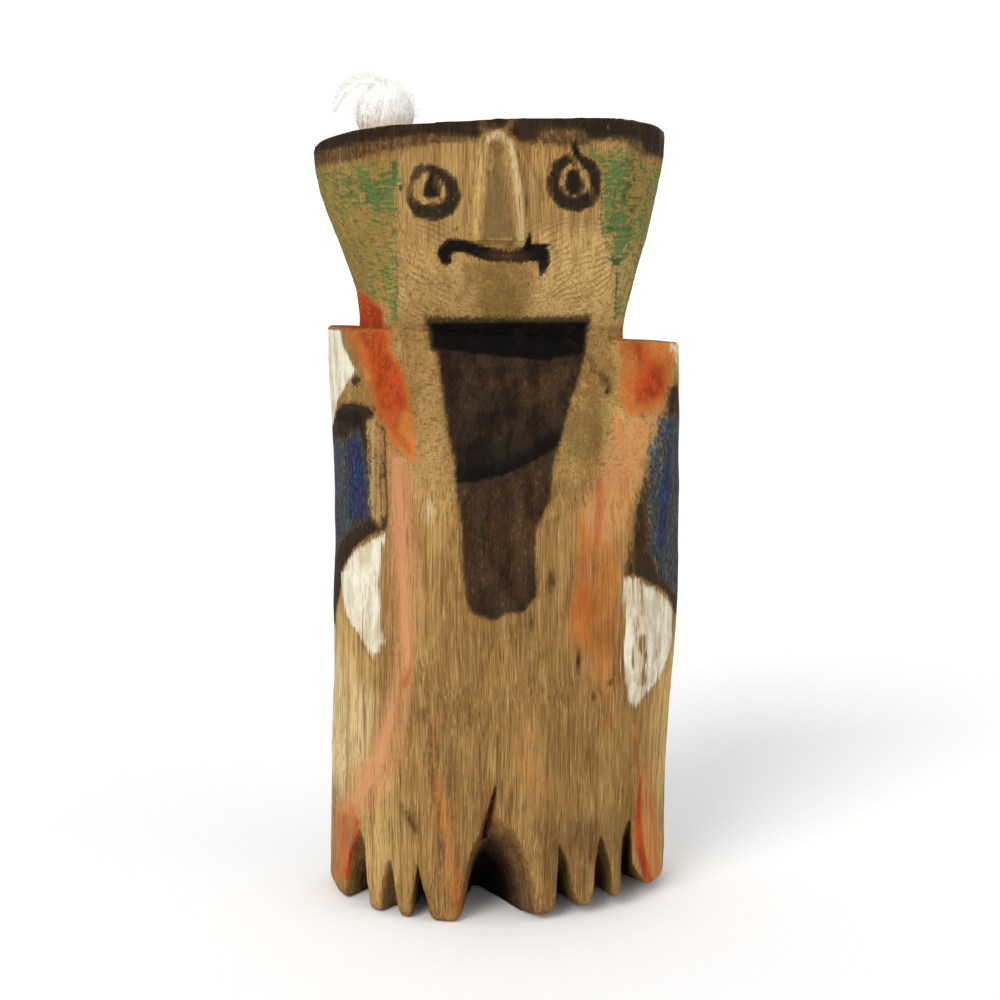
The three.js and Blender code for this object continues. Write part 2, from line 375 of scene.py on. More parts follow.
def dab(paint, cx, cz, rx, rz, load, soft, where=None):
    lay(paint, oval(cx, cz, rx, rz), load, soft, where)


def wipe(paint, shape, share_left, soft, where=1.0):
    """Takes paint away inside a shape and leaves a share of it."""
    cover = np.clip(0.5 + shape / (2 * soft), 0, 1) * where
    paints[paint] = paints[paint] * (1 - cover * (1 - share_left))


# %% [markdown]
# ### The head
# A black band runs round the top, thick at the upper edge and a thin wash below. The nose ridge
# was cut or rubbed clean through it.

# %% Head band
band_edge = [
    (-60, 222.2), (-55, 223.4), (-45.5, 223.2), (-36.2, 225.6), (-29.8, 226.2), (-22.2, 227.8),
    (-10.4, 228.3), (-0.3, 227.9), (7.4, 227.4), (15.7, 227.2), (21.4, 227.6), (24.8, 229), (33.2, 228.9),
    (38.6, 226), (52, 225), (60, 225)]
thick_edge = [
    (-60, 226), (-50, 226.8), (-40, 228), (-22, 229.6), (-11, 228.8), (1, 228.2), (7.6, 227.8), (9, 231.2),
    (20, 231.4), (22, 228.6), (31, 229.6), (38, 229.4), (40, 226.4), (52, 225.6), (60, 225.6)]
# The depth at which the paint stops on the sides wanders with the height.
back_edge = y + 1.5 * np.sin(0.19 * z) + 0.9 * np.sin(0.47 * z + 1) + 0.4 * np.sin(1.3 * z)
head_side = ramp(z, 190, 195) * (1 - ramp(back_edge, 22, 26)) * (1 - ramp(facing[:, 2], 0.86, 0.97))
fill("umber", band_edge + [(60, 250), (-60, 250)], 0.58, 0.7, head_side)
fill("black", band_edge + [(60, 250), (-60, 250)], 0.56, 0.7, head_side)
fill("black", thick_edge + [(60, 250), (-60, 250)], 0.84, 1.6, head_side)
nose_arch = patch([
    (-11.6, 221), (-10.8, 226), (-8.8, 229.7), (-6.4, 231.2), (-3, 231.4), (0, 230), (2.4, 227), (4.8, 221)])
for paint in ("black", "umber"):
    wipe(paint, nose_arch, 0, 0.8)
wipe("black", stroke([(-8.4, 235), (-8, 231), (-2, 231.2), (0.6, 235)], [1, 1.6, 1.6, 1]), 0.45, 1)
wipe("black", stroke([(46, 237), (50, 230)], [2.4, 1.6]), 0.7, 1.5)
print("painted: head band")

# %% Eyes
ring_left = [
    (-23.4, 220.9), (-19.8, 219.4), (-17, 216.4), (-16.5, 213), (-18.2, 209.9), (-22, 208.5), (-26.4, 209.4),
    (-28.6, 212)]
brush("black", ring_left, [3.2, 4, 4.5, 4.8, 5, 4.7, 4.7, 3], 0.86, 0.7)
brush("black", [
    (-28.6, 212), (-28.9, 216), (-27.4, 219.6), (-25.8, 221), (-23.4, 220.9)], [2.8, 1.7, 2.4, 3.7, 3.2],
    0.74, 0.7)
brush("black", [(-25.9, 219.4), (-26.8, 217.6)], [1.6, 0.8], 0.8, 0.6)
brush("black", [(-22.8, 213.8), (-22.7, 216), (-22.7, 218), (-22.6, 219.9)], [5.4, 4.6, 2.8, 1.3], 0.9, 0.6)
wipe("black", stroke([(-24.8, 212.2), (-22.6, 212), (-21, 212.6)], [0.9, 1.1, 0.7]), 0.2, 0.5)
brush("black", [(-31.6, 215.4), (-30.7, 217.2)], [1.9, 1.2], 0.66, 0.7)
ring_right = [
    (11.7, 217.4), (13, 221.6), (15.8, 223.9), (19.5, 223.7), (22.8, 222.4), (24.1, 219.4), (24.1, 215.6),
    (22.4, 212.7), (18.8, 211.3), (15, 211.9), (12.7, 214.1), (11.7, 217.4)]
brush("black", ring_right, [4.2, 3.8, 3.6, 3.4, 4, 4, 4.4, 4.8, 5, 4.6, 4.4, 4.2], 0.88, 0.7)
brush("black", [(17.9, 216.6), (17.8, 219)], [5.8, 5], 0.9, 0.7)
brush("black", [(20, 213.8), (21, 216.5)], [2, 1], 0.7, 0.6)
brush("black", [(17.8, 228), (18.6, 225), (20.4, 221.8)], [2, 3.4, 2.4], 0.98, 0.6)
wipe("black", stroke([(16.8, 225.6), (19.8, 221.6), (22.8, 215)], [0.8, 1, 0.8]), 0.25, 0.5)

# %% Mouth
lip = [
    (-18.6, 195.4), (-19.3, 197.6), (-17.2, 199.7), (-13.5, 199.4), (-9.5, 198), (-6.2, 197), (1, 196.5),
    (6, 197.4), (8.8, 196.9)]
brush("black", lip, [3.4, 4.3, 4.4, 4, 4.2, 4.2, 4, 5, 5.2], 0.95, 0.6)
brush("black", [(8.2, 197.6), (9.4, 195), (8.5, 190.8)], [4.4, 4.2, 1], 0.92, 0.6)
brush("black", [(4.6, 198), (5.2, 202.6)], [4, 1], 0.98, 0.5)
brush("black", [(5, 199.2), (11, 199.8)], [2.6, 1], 0.95, 0.5)
dab("black", -16.2, 204.2, 0.9, 1, 0.86, 0.5)
wipe("black", oval(-1.6, 196.8, 4.6, 1.3), 0.72, 1.2)
dab("red", -1.6, 196.8, 4.4, 1.1, 0.62, 1)
print("painted: eyes and mouth")

# %% Nose
fill("grey", [
    (-8.5, 201), (0.6, 201), (-0.8, 213), (-2, 221), (-3.2, 227), (-5, 227), (-6.2, 221), (-7.5, 213)],
    0.8, 0.8)
brush("umber", [(-8, 201), (-7.6, 208), (-6.6, 220)], [1.7, 1.3, 0.7], 0.72, 0.7)
brush("umber", [(0.3, 201), (-0.3, 208), (-1.8, 220)], [1.3, 1.1, 0.7], 0.78, 0.6)
brush("umber", [(-4.2, 201), (-3.9, 212), (-4.2, 219)], [2.8, 2.2, 0.8], 0.4, 1.4)
brush("red", [(-4.5, 223.5), (-4.2, 215.5)], [1.2, 1], 0.56, 0.8)
dab("umber", -4.2, 227.4, 2.2, 1.6, 0.7, 1.1)
brush("umber", [(-3.6, 234.8), (-4.4, 231.6)], [3.4, 2], 0.4, 1.4)
brush("pale", [
    (2.7, 201), (2.4, 210), (1.2, 220), (-0.6, 227.6), (-3.8, 230.4), (-7, 229.4), (-9, 223), (-10, 212),
    (-10.2, 202)], [3.6, 3.2, 2.8, 2.4, 2.2, 2.2, 2.6, 2.6, 2.4], 1, 1)
# Painted highlight: a bleached streak lightens the right flank and top of the nose, over the pale bare wood.
brush("bleach", [
    (2.5, 202), (2.2, 210), (1, 220), (-0.6, 227.4), (-3.8, 230.2), (-6.8, 229)], [2, 1.9, 1.8, 1.6, 1.4,
    1.2], 0.5, 0.8)
# Painted shade: thin dark lines along the foot of each flank of the nose.
brush("umber", [(5, 201.5), (4.3, 210), (3.2, 220), (2, 226)], [1.3, 1.2, 1, 0.7], 0.72, 0.5)
brush("umber", [(-11.4, 202), (-11.4, 214), (-11, 224)], [0.9, 0.8, 0.7], 0.5, 0.5)
brush("umber", [(3.3, 228), (6, 221), (9.6, 212.5)], [0.8, 0.8, 0.6], 0.55, 0.5)
brush("umber", [(-12.6, 228), (-12.8, 219)], [0.8, 0.6], 0.45, 0.6)

# %% Chin stripe
fill("grey", [
    (-14.5, 194.6), (5.6, 195.2), (6, 188.5), (5.8, 178), (-9, 178), (-9.8, 188), (-14, 189.6)], 0.54, 0.9)
fill("moss", [(-10, 190), (5.8, 190), (5.8, 178), (-9, 178)], 0.5, 1)
brush("umber", [(-6.4, 192), (-6, 179)], [2, 2.4], 0.3, 1.4)
brush("umber", [(-1, 190), (0.6, 184), (0.4, 178)], [2.4, 3, 3], 0.34, 1.4)
dab("umber", -23, 189.2, 7.4, 2, 0.3, 1.6)
fill("pale", [(-33, 203), (-12, 203), (-12, 178), (-35, 178)], 0.62, 4)
fill("pale", [(-33, 224), (30, 226), (30, 200), (-33, 200)], 0.36, 4)
fill("pale", [(6, 204), (40, 206), (40, 176), (6, 178)], 1, 4)

# %% Cheeks
cheek_side = ramp(z, 176, 178) * (1 - ramp(back_edge, 21, 25))
left_cheek = patch([(-60, 223), (-32.4, 224.6), (-31.8, 178), (-60, 178)])
lay("moss", left_cheek, 0.75, 1.4, cheek_side)
lay("green", left_cheek, 0.37, 0.9, cheek_side)
fill("green", [(-53, 221), (-33, 223), (-33, 208), (-50, 209)], 0.52, 3, cheek_side)
fill("green", [(-44.5, 218.5), (-32.6, 222.6), (-33, 209), (-38, 207.5), (-43, 212)], 0.66, 2.2)
fill("green", [(-45, 218), (-40, 218.4), (-37, 214), (-43, 214)], 0.78, 1.2)
brush("green", [(-33, 223), (-33.3, 216)], [2.2, 1.6], 0.9, 0.8)
brush("green", [(-32.6, 208), (-32.6, 190), (-33, 179)], [1, 1, 1.8], 0.66, 0.6)
dab("green", -36, 192, 3.4, 5, 0.52, 2)
right_cheek = patch([
    (25.2, 211), (24.8, 223), (21, 227.2), (37, 227.4), (39, 224.6), (60, 224.6), (60, 196), (39, 178),
    (32.6, 178), (30.4, 192), (27.6, 203)])
lay("moss", right_cheek, 0.8, 1.6, cheek_side)
lay("green", right_cheek, 0.44, 1, cheek_side)
fill("green", [(26, 204), (25.6, 222), (28, 226), (38, 226.4), (39, 213), (37, 205)], 0.62, 2, cheek_side)
fill("green", [(22, 227), (26, 225), (30, 226), (30, 223), (24, 222)], 0.62, 1)
fill("green", [(29, 221), (38, 221), (38, 210), (30, 210)], 0.74, 3)
brush("green", [(28.6, 204.4), (36, 205)], [2, 1.6], 0.96, 0.7)
fill("green", [(28.6, 204), (37, 204.6), (37.6, 197), (31, 195)], 0.68, 1.4)
dab("green", 31.4, 195.6, 2.3, 1.5, 0.98, 0.7)
brush("green", [(32, 193), (32.6, 184), (33, 178.5)], [1.4, 1.2, 1.8], 0.8, 0.7)
brush("green", [(25.5, 221), (26, 206), (28.4, 200)], [0.9, 0.9, 0.8], 0.86, 0.5)
dab("red", -38, 200, 5, 8, 0.36, 3)
dab("red", 34, 214, 4, 3, 0.34, 2)
print("painted: nose, chin, cheeks")

# %% [markdown]
# ### The chest
# Red earth runs from the neck over both shoulders and down the sides of the skirt. It is thick
# and red only on the shoulders. Below, a weak wash of the same paint looks pink.

# %% Red shoulders and the long wash
neck_side = ramp(z, 173.6, 175.4) * (1 - ramp(y, 18, 22))
fill("rust", [
    (-47.5, 187), (-44.6, 188.6), (-41.6, 185), (-36.4, 183), (-36, 175), (-47.5, 175)], 0.9, 1.6, neck_side)
fill("red", [
    (-45.4, 187), (-42, 186.4), (-38.5, 183.4), (-36, 181.4), (-35.8, 175), (-46.5, 175)], 0.95, 1.4,
    neck_side)
ledge = ramp(facing[:, 2], 0.5, 0.8) * ramp(z, 170, 172) * (1 - ramp(z, 178, 180)) * (1 - ramp(y, 14, 20))
brush("red", [(-49, 175), (-37, 175)], [7, 7], 0.8, 2, ledge)
for paint in ("moss", "green"):
    wipe(paint, patch([
        (-48, 187), (-43.6, 188.4), (-40.6, 185.4), (-36.6, 183), (-35, 181), (-35, 175), (-48, 175)]),
        0.2, 1.2)
chest_front = faces_front * (1 - ramp(z, 174.5, 176.5))
left_band = patch([
    (-48.9, 177), (-34.4, 177), (-33.8, 170), (-30.4, 164), (-28.7, 156.5), (-27.4, 146), (-27, 136),
    (-31.4, 139.8), (-34.7, 141.6), (-37.6, 148.4), (-39.8, 152.4), (-42.2, 162), (-44.9, 169),
    (-48.9, 175.4)])
lay("rust", left_band, 0.95, 1.1, chest_front)
fill("red", [
    (-46, 177), (-35, 177), (-34.4, 170), (-31, 163.6), (-29.2, 156.6), (-28.8, 152.6), (-33, 150.6),
    (-38.4, 152), (-40.2, 160), (-42, 168)], 0.86, 1.8, chest_front)
fill("red", [
    (-38, 154), (-30, 154), (-31, 147), (-28.4, 143), (-27.6, 137), (-31.6, 140.6), (-35.4, 145)], 0.7, 1.4,
    chest_front)
fill("rose", [
    (-38.6, 149.6), (-34.7, 141.6), (-31.2, 139.6), (-27.2, 136), (-26.8, 124), (-27, 110.6), (-27.6, 86),
    (-28.4, 77), (-28.8, 69), (-30, 60), (-31.6, 50.6), (-34.4, 41), (-40, 30), (-52, 26), (-46.6, 38),
    (-43, 48), (-38.8, 58.6), (-36.6, 68), (-34.6, 78), (-34.2, 86), (-34.4, 110), (-35.2, 119), (-36.4, 129),
    (-37.4, 140)], 0.66, 1)
brush("rose", [
    (-33, 138), (-32.4, 120), (-31.4, 104), (-30.8, 90), (-30.6, 78)], [5, 5.6, 5.8, 5.4, 5], 0.95, 2.2)
brush("red", [(-28.6, 90), (-28.8, 82), (-29.8, 76), (-31.4, 71.6)], [1, 1.8, 1.8, 3], 0.66, 0.9)
brush("rose", [(-33, 74), (-35, 64), (-37.5, 54), (-41, 44), (-46, 33)], [3, 5, 6.6, 7.4, 7], 0.9, 2.6)
fill("red", [(-53, 26), (-47, 31), (-46.4, 20), (-48.6, 12), (-50, 4), (-54, 6)], 0.62, 2.2)
brush("red", [(-45.6, 27), (-47.4, 18), (-49.4, 8)], [2.4, 2.6, 2.4], 0.85, 1.2)
fill("rust", [(-54, 30), (-46, 34), (-45, 26), (-48.4, 12), (-50, 2), (-54, 2)], 0.66, 3)
right_band = patch([
    (33, 177), (39, 172.4), (60, 176), (60, 168), (53.2, 169), (51, 160), (48.4, 152.4), (42, 150),
    (35, 149.4), (32.6, 156), (34, 166)])
lay("pale", right_band, 1, 2, chest_front)
lay("rust", right_band, 0.97, 1.4, chest_front)
fill("red", [
    (35, 176), (44, 174), (46, 168), (52, 166), (49, 155), (43.4, 150.4), (36.4, 151), (35.6, 157), (38, 163),
    (36, 169)], 0.82, 4, chest_front)
dab("red", 44, 159, 6, 6, 0.95, 3, chest_front)
brush("umber", [
    (34, 155), (37.4, 151.6), (42, 150.4), (47.4, 152.6)], [1.6, 2, 2, 1.4], 0.42, 1.8, chest_front)
fill("rust", [
    (30.6, 154), (35, 150), (46.2, 150.4), (41.4, 137), (38.4, 129.4), (34.4, 116.6), (33.4, 106), (32, 84),
    (30.5, 66), (22, 80), (17, 98), (17.6, 112), (20, 124), (25.6, 131), (29, 141)], 0.62, 2.4)
fill("rose", [
    (30.6, 154), (35, 149), (45.6, 149), (41, 137), (38.4, 129.4), (34.2, 117), (24, 111), (20.4, 123),
    (24, 131), (30, 142)], 0.56, 1.8)
brush("rose", [(37, 148), (36.4, 136), (35.4, 128)], [3, 3, 1], 0.7, 1.4)
fill("pale", [
    (31, 154), (46, 150), (41, 137), (38.4, 129.4), (34.2, 117), (26, 110), (21, 123), (27, 134)], 0.8, 2.4)
brush("red", [(30.8, 150), (31.4, 144.8)], [1.6, 1.4], 0.6, 0.8)
brush("red", [(26, 132), (26, 124), (25.4, 113)], [3, 3.4, 2.2], 0.7, 1)
brush("red", [(21.4, 123), (21.4, 112), (20, 100)], [1.8, 3, 4], 0.5, 1.6)
dab("rust", 21.5, 94, 5.6, 15, 0.85, 3)
brush("rust", [(22, 88), (26, 74), (29.5, 60)], [8, 7, 4], 0.52, 3.4)
dab("umber", 22, 90, 5, 14, 0.3, 4)
brush("red", [(20, 108), (20.4, 96), (22, 84)], [3, 4, 2.6], 0.5, 2)
dab("red", 29, 60.8, 1.7, 3, 0.62, 1.2)
lay("red", 0.45 - np.abs(oval(28, 140.4, 2.7, 2.6)), 0.72, 0.5)     # a small ring
brush("red", [(38.4, 60), (39.2, 50), (39.8, 40)], [0.9, 1.4, 1], 0.7, 0.7)
fill("rust", [(40.6, 47), (44, 46), (49, 20), (52, 3), (44, 3), (40, 12), (38.4, 22), (39.6, 34)], 0.66, 2.4)
brush("red", [(41.8, 44), (41.6, 36)], [2.6, 1.4], 0.6, 1.2)
brush("red", [(40.4, 40), (39.8, 27), (40.4, 18), (43, 8), (45.4, 4)], [1.4, 2.8, 3.6, 3.4, 1.8], 0.95, 1)
brush("red", [(44, 34), (46.4, 18), (47.6, 6)], [1, 2, 1.4], 0.7, 1)
# Painted shade: thin dark lines in the crease where the chin overhangs the chest.
brush("umber", [(24.6, 176.4), (30, 175.6), (37, 175)], [0.9, 0.8, 0.7], 0.7, 0.6)
brush("umber", [(-36, 176.4), (-24, 177)], [0.7, 0.7], 0.6, 0.6)
print("painted: reds")

# %% The black bib
bib = patch([
    (-23.8, 178.4), (24.6, 178.6), (24, 172), (23.2, 167.7), (21, 160.8), (18.3, 155), (16.2, 148.2),
    (14, 141), (12.2, 136.3), (11.5, 126.6), (9.7, 123.8), (7.2, 118), (6.8, 110), (7.6, 99), (3.6, 94),
    (-2.2, 93.4), (-5.2, 91.2), (-8, 92.4), (-12, 93.5), (-13.8, 97.5), (-14.8, 111), (-14.9, 118.3),
    (-16.4, 129.7), (-16.5, 137.8), (-18, 143.5), (-19.1, 151.4), (-20.1, 161), (-21, 169), (-23.4, 169.8)])
lay("umber", bib, 0.95, 0.9)
lay("black", bib, 0.72, 0.8)
fill("black", [
    (-20, 166), (22.8, 168), (14, 141), (11.8, 138.6), (4, 136), (-4, 132.6), (-16.4, 131.6)], 0.88, 2)
fill("black", [(-24, 178.4), (24.4, 178.6), (23.6, 168), (12, 165.5), (0, 166.5), (-22.4, 169.4)], 1, 1.3)
# The thick black ends low down in a curved edge, and the thin black under it goes on.
above_edge = z - 131.2 - 0.0105 * (x + 18) ** 2
lay("black", bib, 0.94, 0.8, faces_front * ramp(above_edge, -0.6, 0.6) * (1 - 0.16 * ramp(above_edge, 2, 12)))
fill("black", [
    (-25, 180.2), (-10, 179.8), (4, 179.6), (16, 180.2), (25.6, 180.6), (25, 176), (-24.6, 176)], 0.72, 1.1)
wipe("black", oval(-3, 160, 9, 5), 0.8, 4)
wipe("black", oval(11, 157, 6, 7), 0.76, 4)
wipe("black", oval(17.6, 163, 4, 3), 0.76, 2.4)
wipe("black", oval(-13, 156, 4, 7), 0.86, 3)
wipe("black", stroke([(-12, 146), (4, 148)], [2, 3]), 0.86, 3)
for streak in ([(-12, 128), (-11.6, 98)], [(-5, 129), (-6, 104)], [(2, 132), (1.4, 97)],
               [(7.4, 134), (5, 112)]):
    wipe("black", stroke(streak, [2.2, 2.8]), 0.95, 2.4)
    wipe("umber", stroke(streak, [2.2, 2.6]), 0.85, 2)
    brush("rust", streak, [2.4, 3], 0.5, 2)
for place in ((11.4, 103, 1.5, 4.6), (5.6, 91, 1.1, 3.4), (11.2, 97, 0.8, 1.4)):
    dab("umber", *place, 0.9, 0.9)
for place in ((-15.4, 99.2, 1.8, 1.4), (-15.6, 94.6, 2, 1.2), (14.2, 129.8, 1.7, 1.8), (21.6, 129.8, 3.4, 1)):
    dab("umber", *place, 0.5, 1.2)
print("painted: bib")

# %% [markdown]
# ### Arms and hands
# The arms are only painted: blue sleeves framed in black, and white hands with the fingers held
# down. They lie on the rounded sides, so they are placed by depth (y) and height (z).

# %% Left arm
across = y
arm_depth = 1 - ramp(back_edge, 20.5, 22.5)
region = left_side = ramp(-x, 34.5, 36.5) * arm_depth * (1 - ramp(z, 175, 176)) * ramp(-facing[:, 0], 0.15, 0.4)
fill("white", [
    (-1, 180), (-3.4, 172), (-7.2, 167), (-9.8, 163.8), (-6.2, 160.2), (-1.2, 155.8), (5.2, 149.6), (10, 146),
    (30, 144), (30, 180)], 0.86, 1)
fill("black", [(-12, 162), (-8, 162.6), (-6.4, 159.6), (-10, 158.4)], 0.8, 0.8)
sleeve_left = patch([
    (30, 148), (9, 148.6), (4, 149.8), (-1, 153.6), (-8, 154.6), (-14.4, 153.4), (-17.4, 147), (-17.2, 117.4),
    (-12.8, 114.8), (-7, 109.8), (-1.6, 101.8), (2.4, 94), (9, 84), (30, 80)])
lay("black", sleeve_left, 0.84, 1)
fill("black", [(-12, 152.6), (2, 151.6), (9, 146), (-6, 146.6), (-11, 143)], 0.9, 1)
lay("umber", sleeve_left, 0.45, 1.4)
for paint in ("black", "umber"):
    wipe(paint, patch([(-15.8, 151), (-12.6, 149), (-12.8, 121), (-15.2, 118)]), 0.2, 0.9, left_side)
fill("pale", [(-16.4, 151), (-12.4, 149), (-12.6, 121), (-15.6, 118)], 0.8, 1)
for line in ([(-15, 149), (-14.8, 136)], [(-14.4, 143), (-14, 122)], [(-13.4, 150), (-13.2, 138)]):
    brush("umber", line, [0.8, 0.6], 0.85, 0.5)
cuff_left = patch([
    (-9.3, 147.4), (-11.2, 142.6), (-12.4, 134), (-12.4, 119.2), (-6, 116.6), (0, 112.4), (8, 106.8),
    (30, 104), (30, 142), (8, 141.6), (-4, 143.6)])
wipe("black", cuff_left, 0.7, 0.8, left_side)
lay("blue", cuff_left, 0.74, 1)
fill("blue", [(-8, 147), (-11, 143), (-12.6, 134), (-12.6, 119), (-6, 116.6), (-2, 118), (-2.6, 142)], 1, 2.4)
hand_left = patch([
    (-17.2, 116.8), (-12.9, 114), (-6, 109.4), (1, 101.6), (0, 94.8), (-3, 88.8), (-9.4, 84), (-13.8, 78),
    (-15.3, 81.6), (-16.9, 83.6), (-16.1, 88), (-15.8, 94), (-15.4, 100.4), (-15.6, 106), (-16, 112)])
for paint in ("black", "umber"):
    wipe(paint, hand_left, 0, 0.9, left_side)
lay("white", hand_left, 0.8, 0.9)
fill("white", [(-14, 111), (-4, 104.5), (-5, 96), (-10, 100)], 0.94, 1.6)
brush("white", [(-13.3, 100), (-14.4, 92), (-14.6, 81)], [2, 2.4, 2], 1, 0.8)
fill("white", [(-2, 101.6), (1.6, 94), (-2, 88), (-6, 89)], 0.38, 1.5)
brush("umber", [(-15.9, 152), (-16.3, 140), (-16.6, 121)], [0.9, 0.9, 0.8], 0.9, 0.5)
brush("umber", [(-4.6, 90), (-9.6, 84), (-14, 76.6)], [0.6, 0.6, 0.5], 0.6, 0.5)

# %% Right arm
region = right_side = ramp(x, 32, 33.6) * arm_depth * (1 - ramp(z, 171, 172)) * ramp(facing[:, 0], 0.15, 0.4)
fill("white", [(0.6, 172), (30, 172), (30, 150), (7, 150), (2.6, 158)], 0.62, 1.4)
sleeve_right = patch([
    (30, 152), (7, 152.4), (1, 159.6), (-2.2, 158.4), (-6.6, 149.8), (-10.5, 143), (-13.2, 136),
    (-15.7, 128.8), (-17.8, 122.4), (-19, 112), (-19.9, 103.4), (-16, 100), (-10, 96.4), (-2.6, 89.4),
    (2, 86.6), (30, 84)])
lay("black", sleeve_right, 0.8, 1)
lay("umber", sleeve_right, 0.5, 1.4)
fill("black", [
    (-11, 141), (-7, 148), (0, 156), (-8, 149), (-12, 139), (-14.6, 124), (-17, 116), (-14.4, 112)],
    0.86, 1.4)
cuff_right = patch([
    (-8, 149.6), (-12.8, 139.8), (-15.4, 122), (-15.6, 109.6), (-11.4, 101), (-2, 94.6), (8, 92), (30, 92),
    (30, 148), (4, 149.4)])
wipe("black", cuff_right, 0.7, 0.9, right_side)
lay("blue", cuff_right, 0.74, 1.1)
fill("blue", [(-7.6, 148), (-12, 138), (-14.4, 122), (-14.4, 110), (-9, 103), (-6, 120), (-4, 140)], 0.96, 3)
hand_right = patch([
    (-20.4, 103.2), (-18.1, 102.6), (-16.1, 99.8), (-10.1, 96.2), (-2.6, 89.2), (-1, 81), (-5.7, 73.8),
    (-11.4, 67.8), (-14.9, 65), (-17.3, 61.8), (-18.8, 64.3), (-20.4, 72), (-20.2, 91.3)])
for paint in ("black", "umber"):
    wipe(paint, hand_right, 0, 0.9, right_side)
lay("white", hand_right, 0.72, 0.9)
brush("white", [(-18.4, 101), (-18.7, 90), (-19, 78), (-18.2, 65)], [2.4, 2.6, 2.4, 1.8], 1, 0.8)
brush("white", [(-14, 82), (-14, 73), (-14.6, 66.4)], [1.6, 1.8, 1], 0.9, 0.8)
brush("white", [(-13, 98), (-4.4, 90), (-2.4, 82), (-6.6, 74.4), (-13, 67)], [1, 1.4, 1.2, 1.2, 1], 0.72, 1)
wipe("white", stroke([(-17, 101), (-17, 91)], [0.7, 0.5]), 0.5, 0.6, right_side)
wipe("white", stroke([(-16.4, 84), (-15.9, 76), (-15.9, 69)], [1.2, 1.2, 0.6]), 0.3, 0.8, right_side)
print("painted: arms and hands")

# %% [markdown]
# ### Age and painted shade
# Handling has browned the belly and the middle teeth, and light has bleached the lower left side.
# The notches of the hem are dark with dirt and with painted shade that deepens with depth, most of
# all the big one in the middle.

# %% Browned, bleached and smudged wood
across, region = x, faces_front
round_side = ramp(-facing[:, 1], -0.9, -0.2)    # bleaching runs round the sides too
dab("umber", 2, 62, 24, 26, 0.2, 12)
fill("umber", [(-22, 92), (14, 90), (30, 70), (33, 40), (20, 0), (-22, 0), (-28, 30), (-24, 60)], 0.16, 6)
brush("umber", [(-25.4, 64), (-23.6, 54), (-23, 42), (-21, 22)], [3, 4.4, 4, 3.4], 0.78, 1.8)
brush("rust", [(-24, 62), (-22, 44), (-18, 22), (-15, 4)], [2, 4, 6, 8], 0.56, 2.4)
brush("umber", [(-17, 60), (-18.6, 44), (-17, 26)], [2, 3, 2.6], 0.6, 1.6)
brush("umber", [(-9, 46), (-13, 30), (-16, 10)], [5, 8, 9], 0.46, 3)
brush("umber", [(-13, 84), (-13, 66)], [4, 4], 0.4, 2.4)
brush("rust", [(6, 66), (4, 46), (10, 38)], [6, 6, 5], 0.42, 5)
brush("umber", [(-22, 26), (-21.2, 17)], [1.6, 1.2], 0.6, 0.9)
brush("umber", [(-21.6, 9), (-21.4, 4)], [1, 1], 0.6, 0.8)
brush("umber", [(-32.8, 35.6), (-30.4, 31.6), (-28.4, 28)], [1.8, 2.6, 1.8], 0.85, 0.9)
brush("umber", [(-42, 13), (-40.4, 14), (-39.8, 11)], [0.7, 0.9, 1], 0.6, 0.6)
fill("umber", [(6, 34), (16, 30), (26, 33), (29, 20), (24, 8), (12, 8), (5, 20)], 0.5, 3)
fill("umber", [(14, 32), (27, 34), (29, 20), (24, 12), (16, 18)], 0.62, 4)
dab("umber", 12.4, 23, 1.7, 2.4, 0.75, 1)
dab("umber", 21, 20.6, 2.2, 1.8, 0.55, 1.2)
for place in ((19.9, 78.5, 0.7, 3), (29.6, 71.4, 0.7, 0.7), (24.3, 68, 0.5, 1)):
    dab("soot", *place, 0.9, 0.5)
brush("umber", knot_line, [1.3, 1.5, 1.3, 1.5, 1.8, 1.9, 1.5], 1, 0.5)
dab("grey", 28.4, 160.4, 1.7, 1.7, 0.85, 0.8)
fill("grey", [(16, 152), (29.6, 155), (29.6, 147), (26, 137), (15, 137.6), (14.6, 142)], 0.62, 2)
dab("moss", 28, 151.6, 2.6, 3, 0.8, 1.6)
fill("moss", [(16, 150), (29, 152), (26, 138), (15, 138)], 0.42, 4)
dab("umber", 20, 147.6, 5, 2.6, 0.3, 1.8)
fill("grey", [(28, 34), (37, 33), (37, 4), (30, 4)], 0.66, 3)
fill("moss", [(28, 34), (37, 33), (37, 4), (30, 4)], 0.36, 3)
fill("grey", [(12, 34), (28, 32), (26, 18), (14, 16)], 0.46, 4)
fill("pale", [(-60, 96), (-46, 88), (-39.6, 76), (-40.2, 50), (-46, 36), (-54, 20), (-60, -10)], 0.9, 6,
     round_side)
fill("bleach", [(-60, 84), (-50.4, 74), (-49.6, 36), (-55, 16), (-60, 4)], 0.72, 6, round_side)
fill("bleach", [(-48, 70), (-40.4, 66), (-43.6, 48), (-49.4, 42)], 0.45, 4)
fill("pale", [(43, 74), (60, 84), (60, -10), (44, -10), (43, 40)], 1, 5, round_side)
dab("pale", -40, 22, 8, 20, 0.7, 5)
fill("pale", [(-26, 174), (-22, 172), (-17, 140), (-15.6, 112), (-25, 108), (-26, 134), (-27, 156)], 0.35, 3)
dab("bleach", -23.9, 123.4, 1.3, 2.6, 0.45, 1.2)
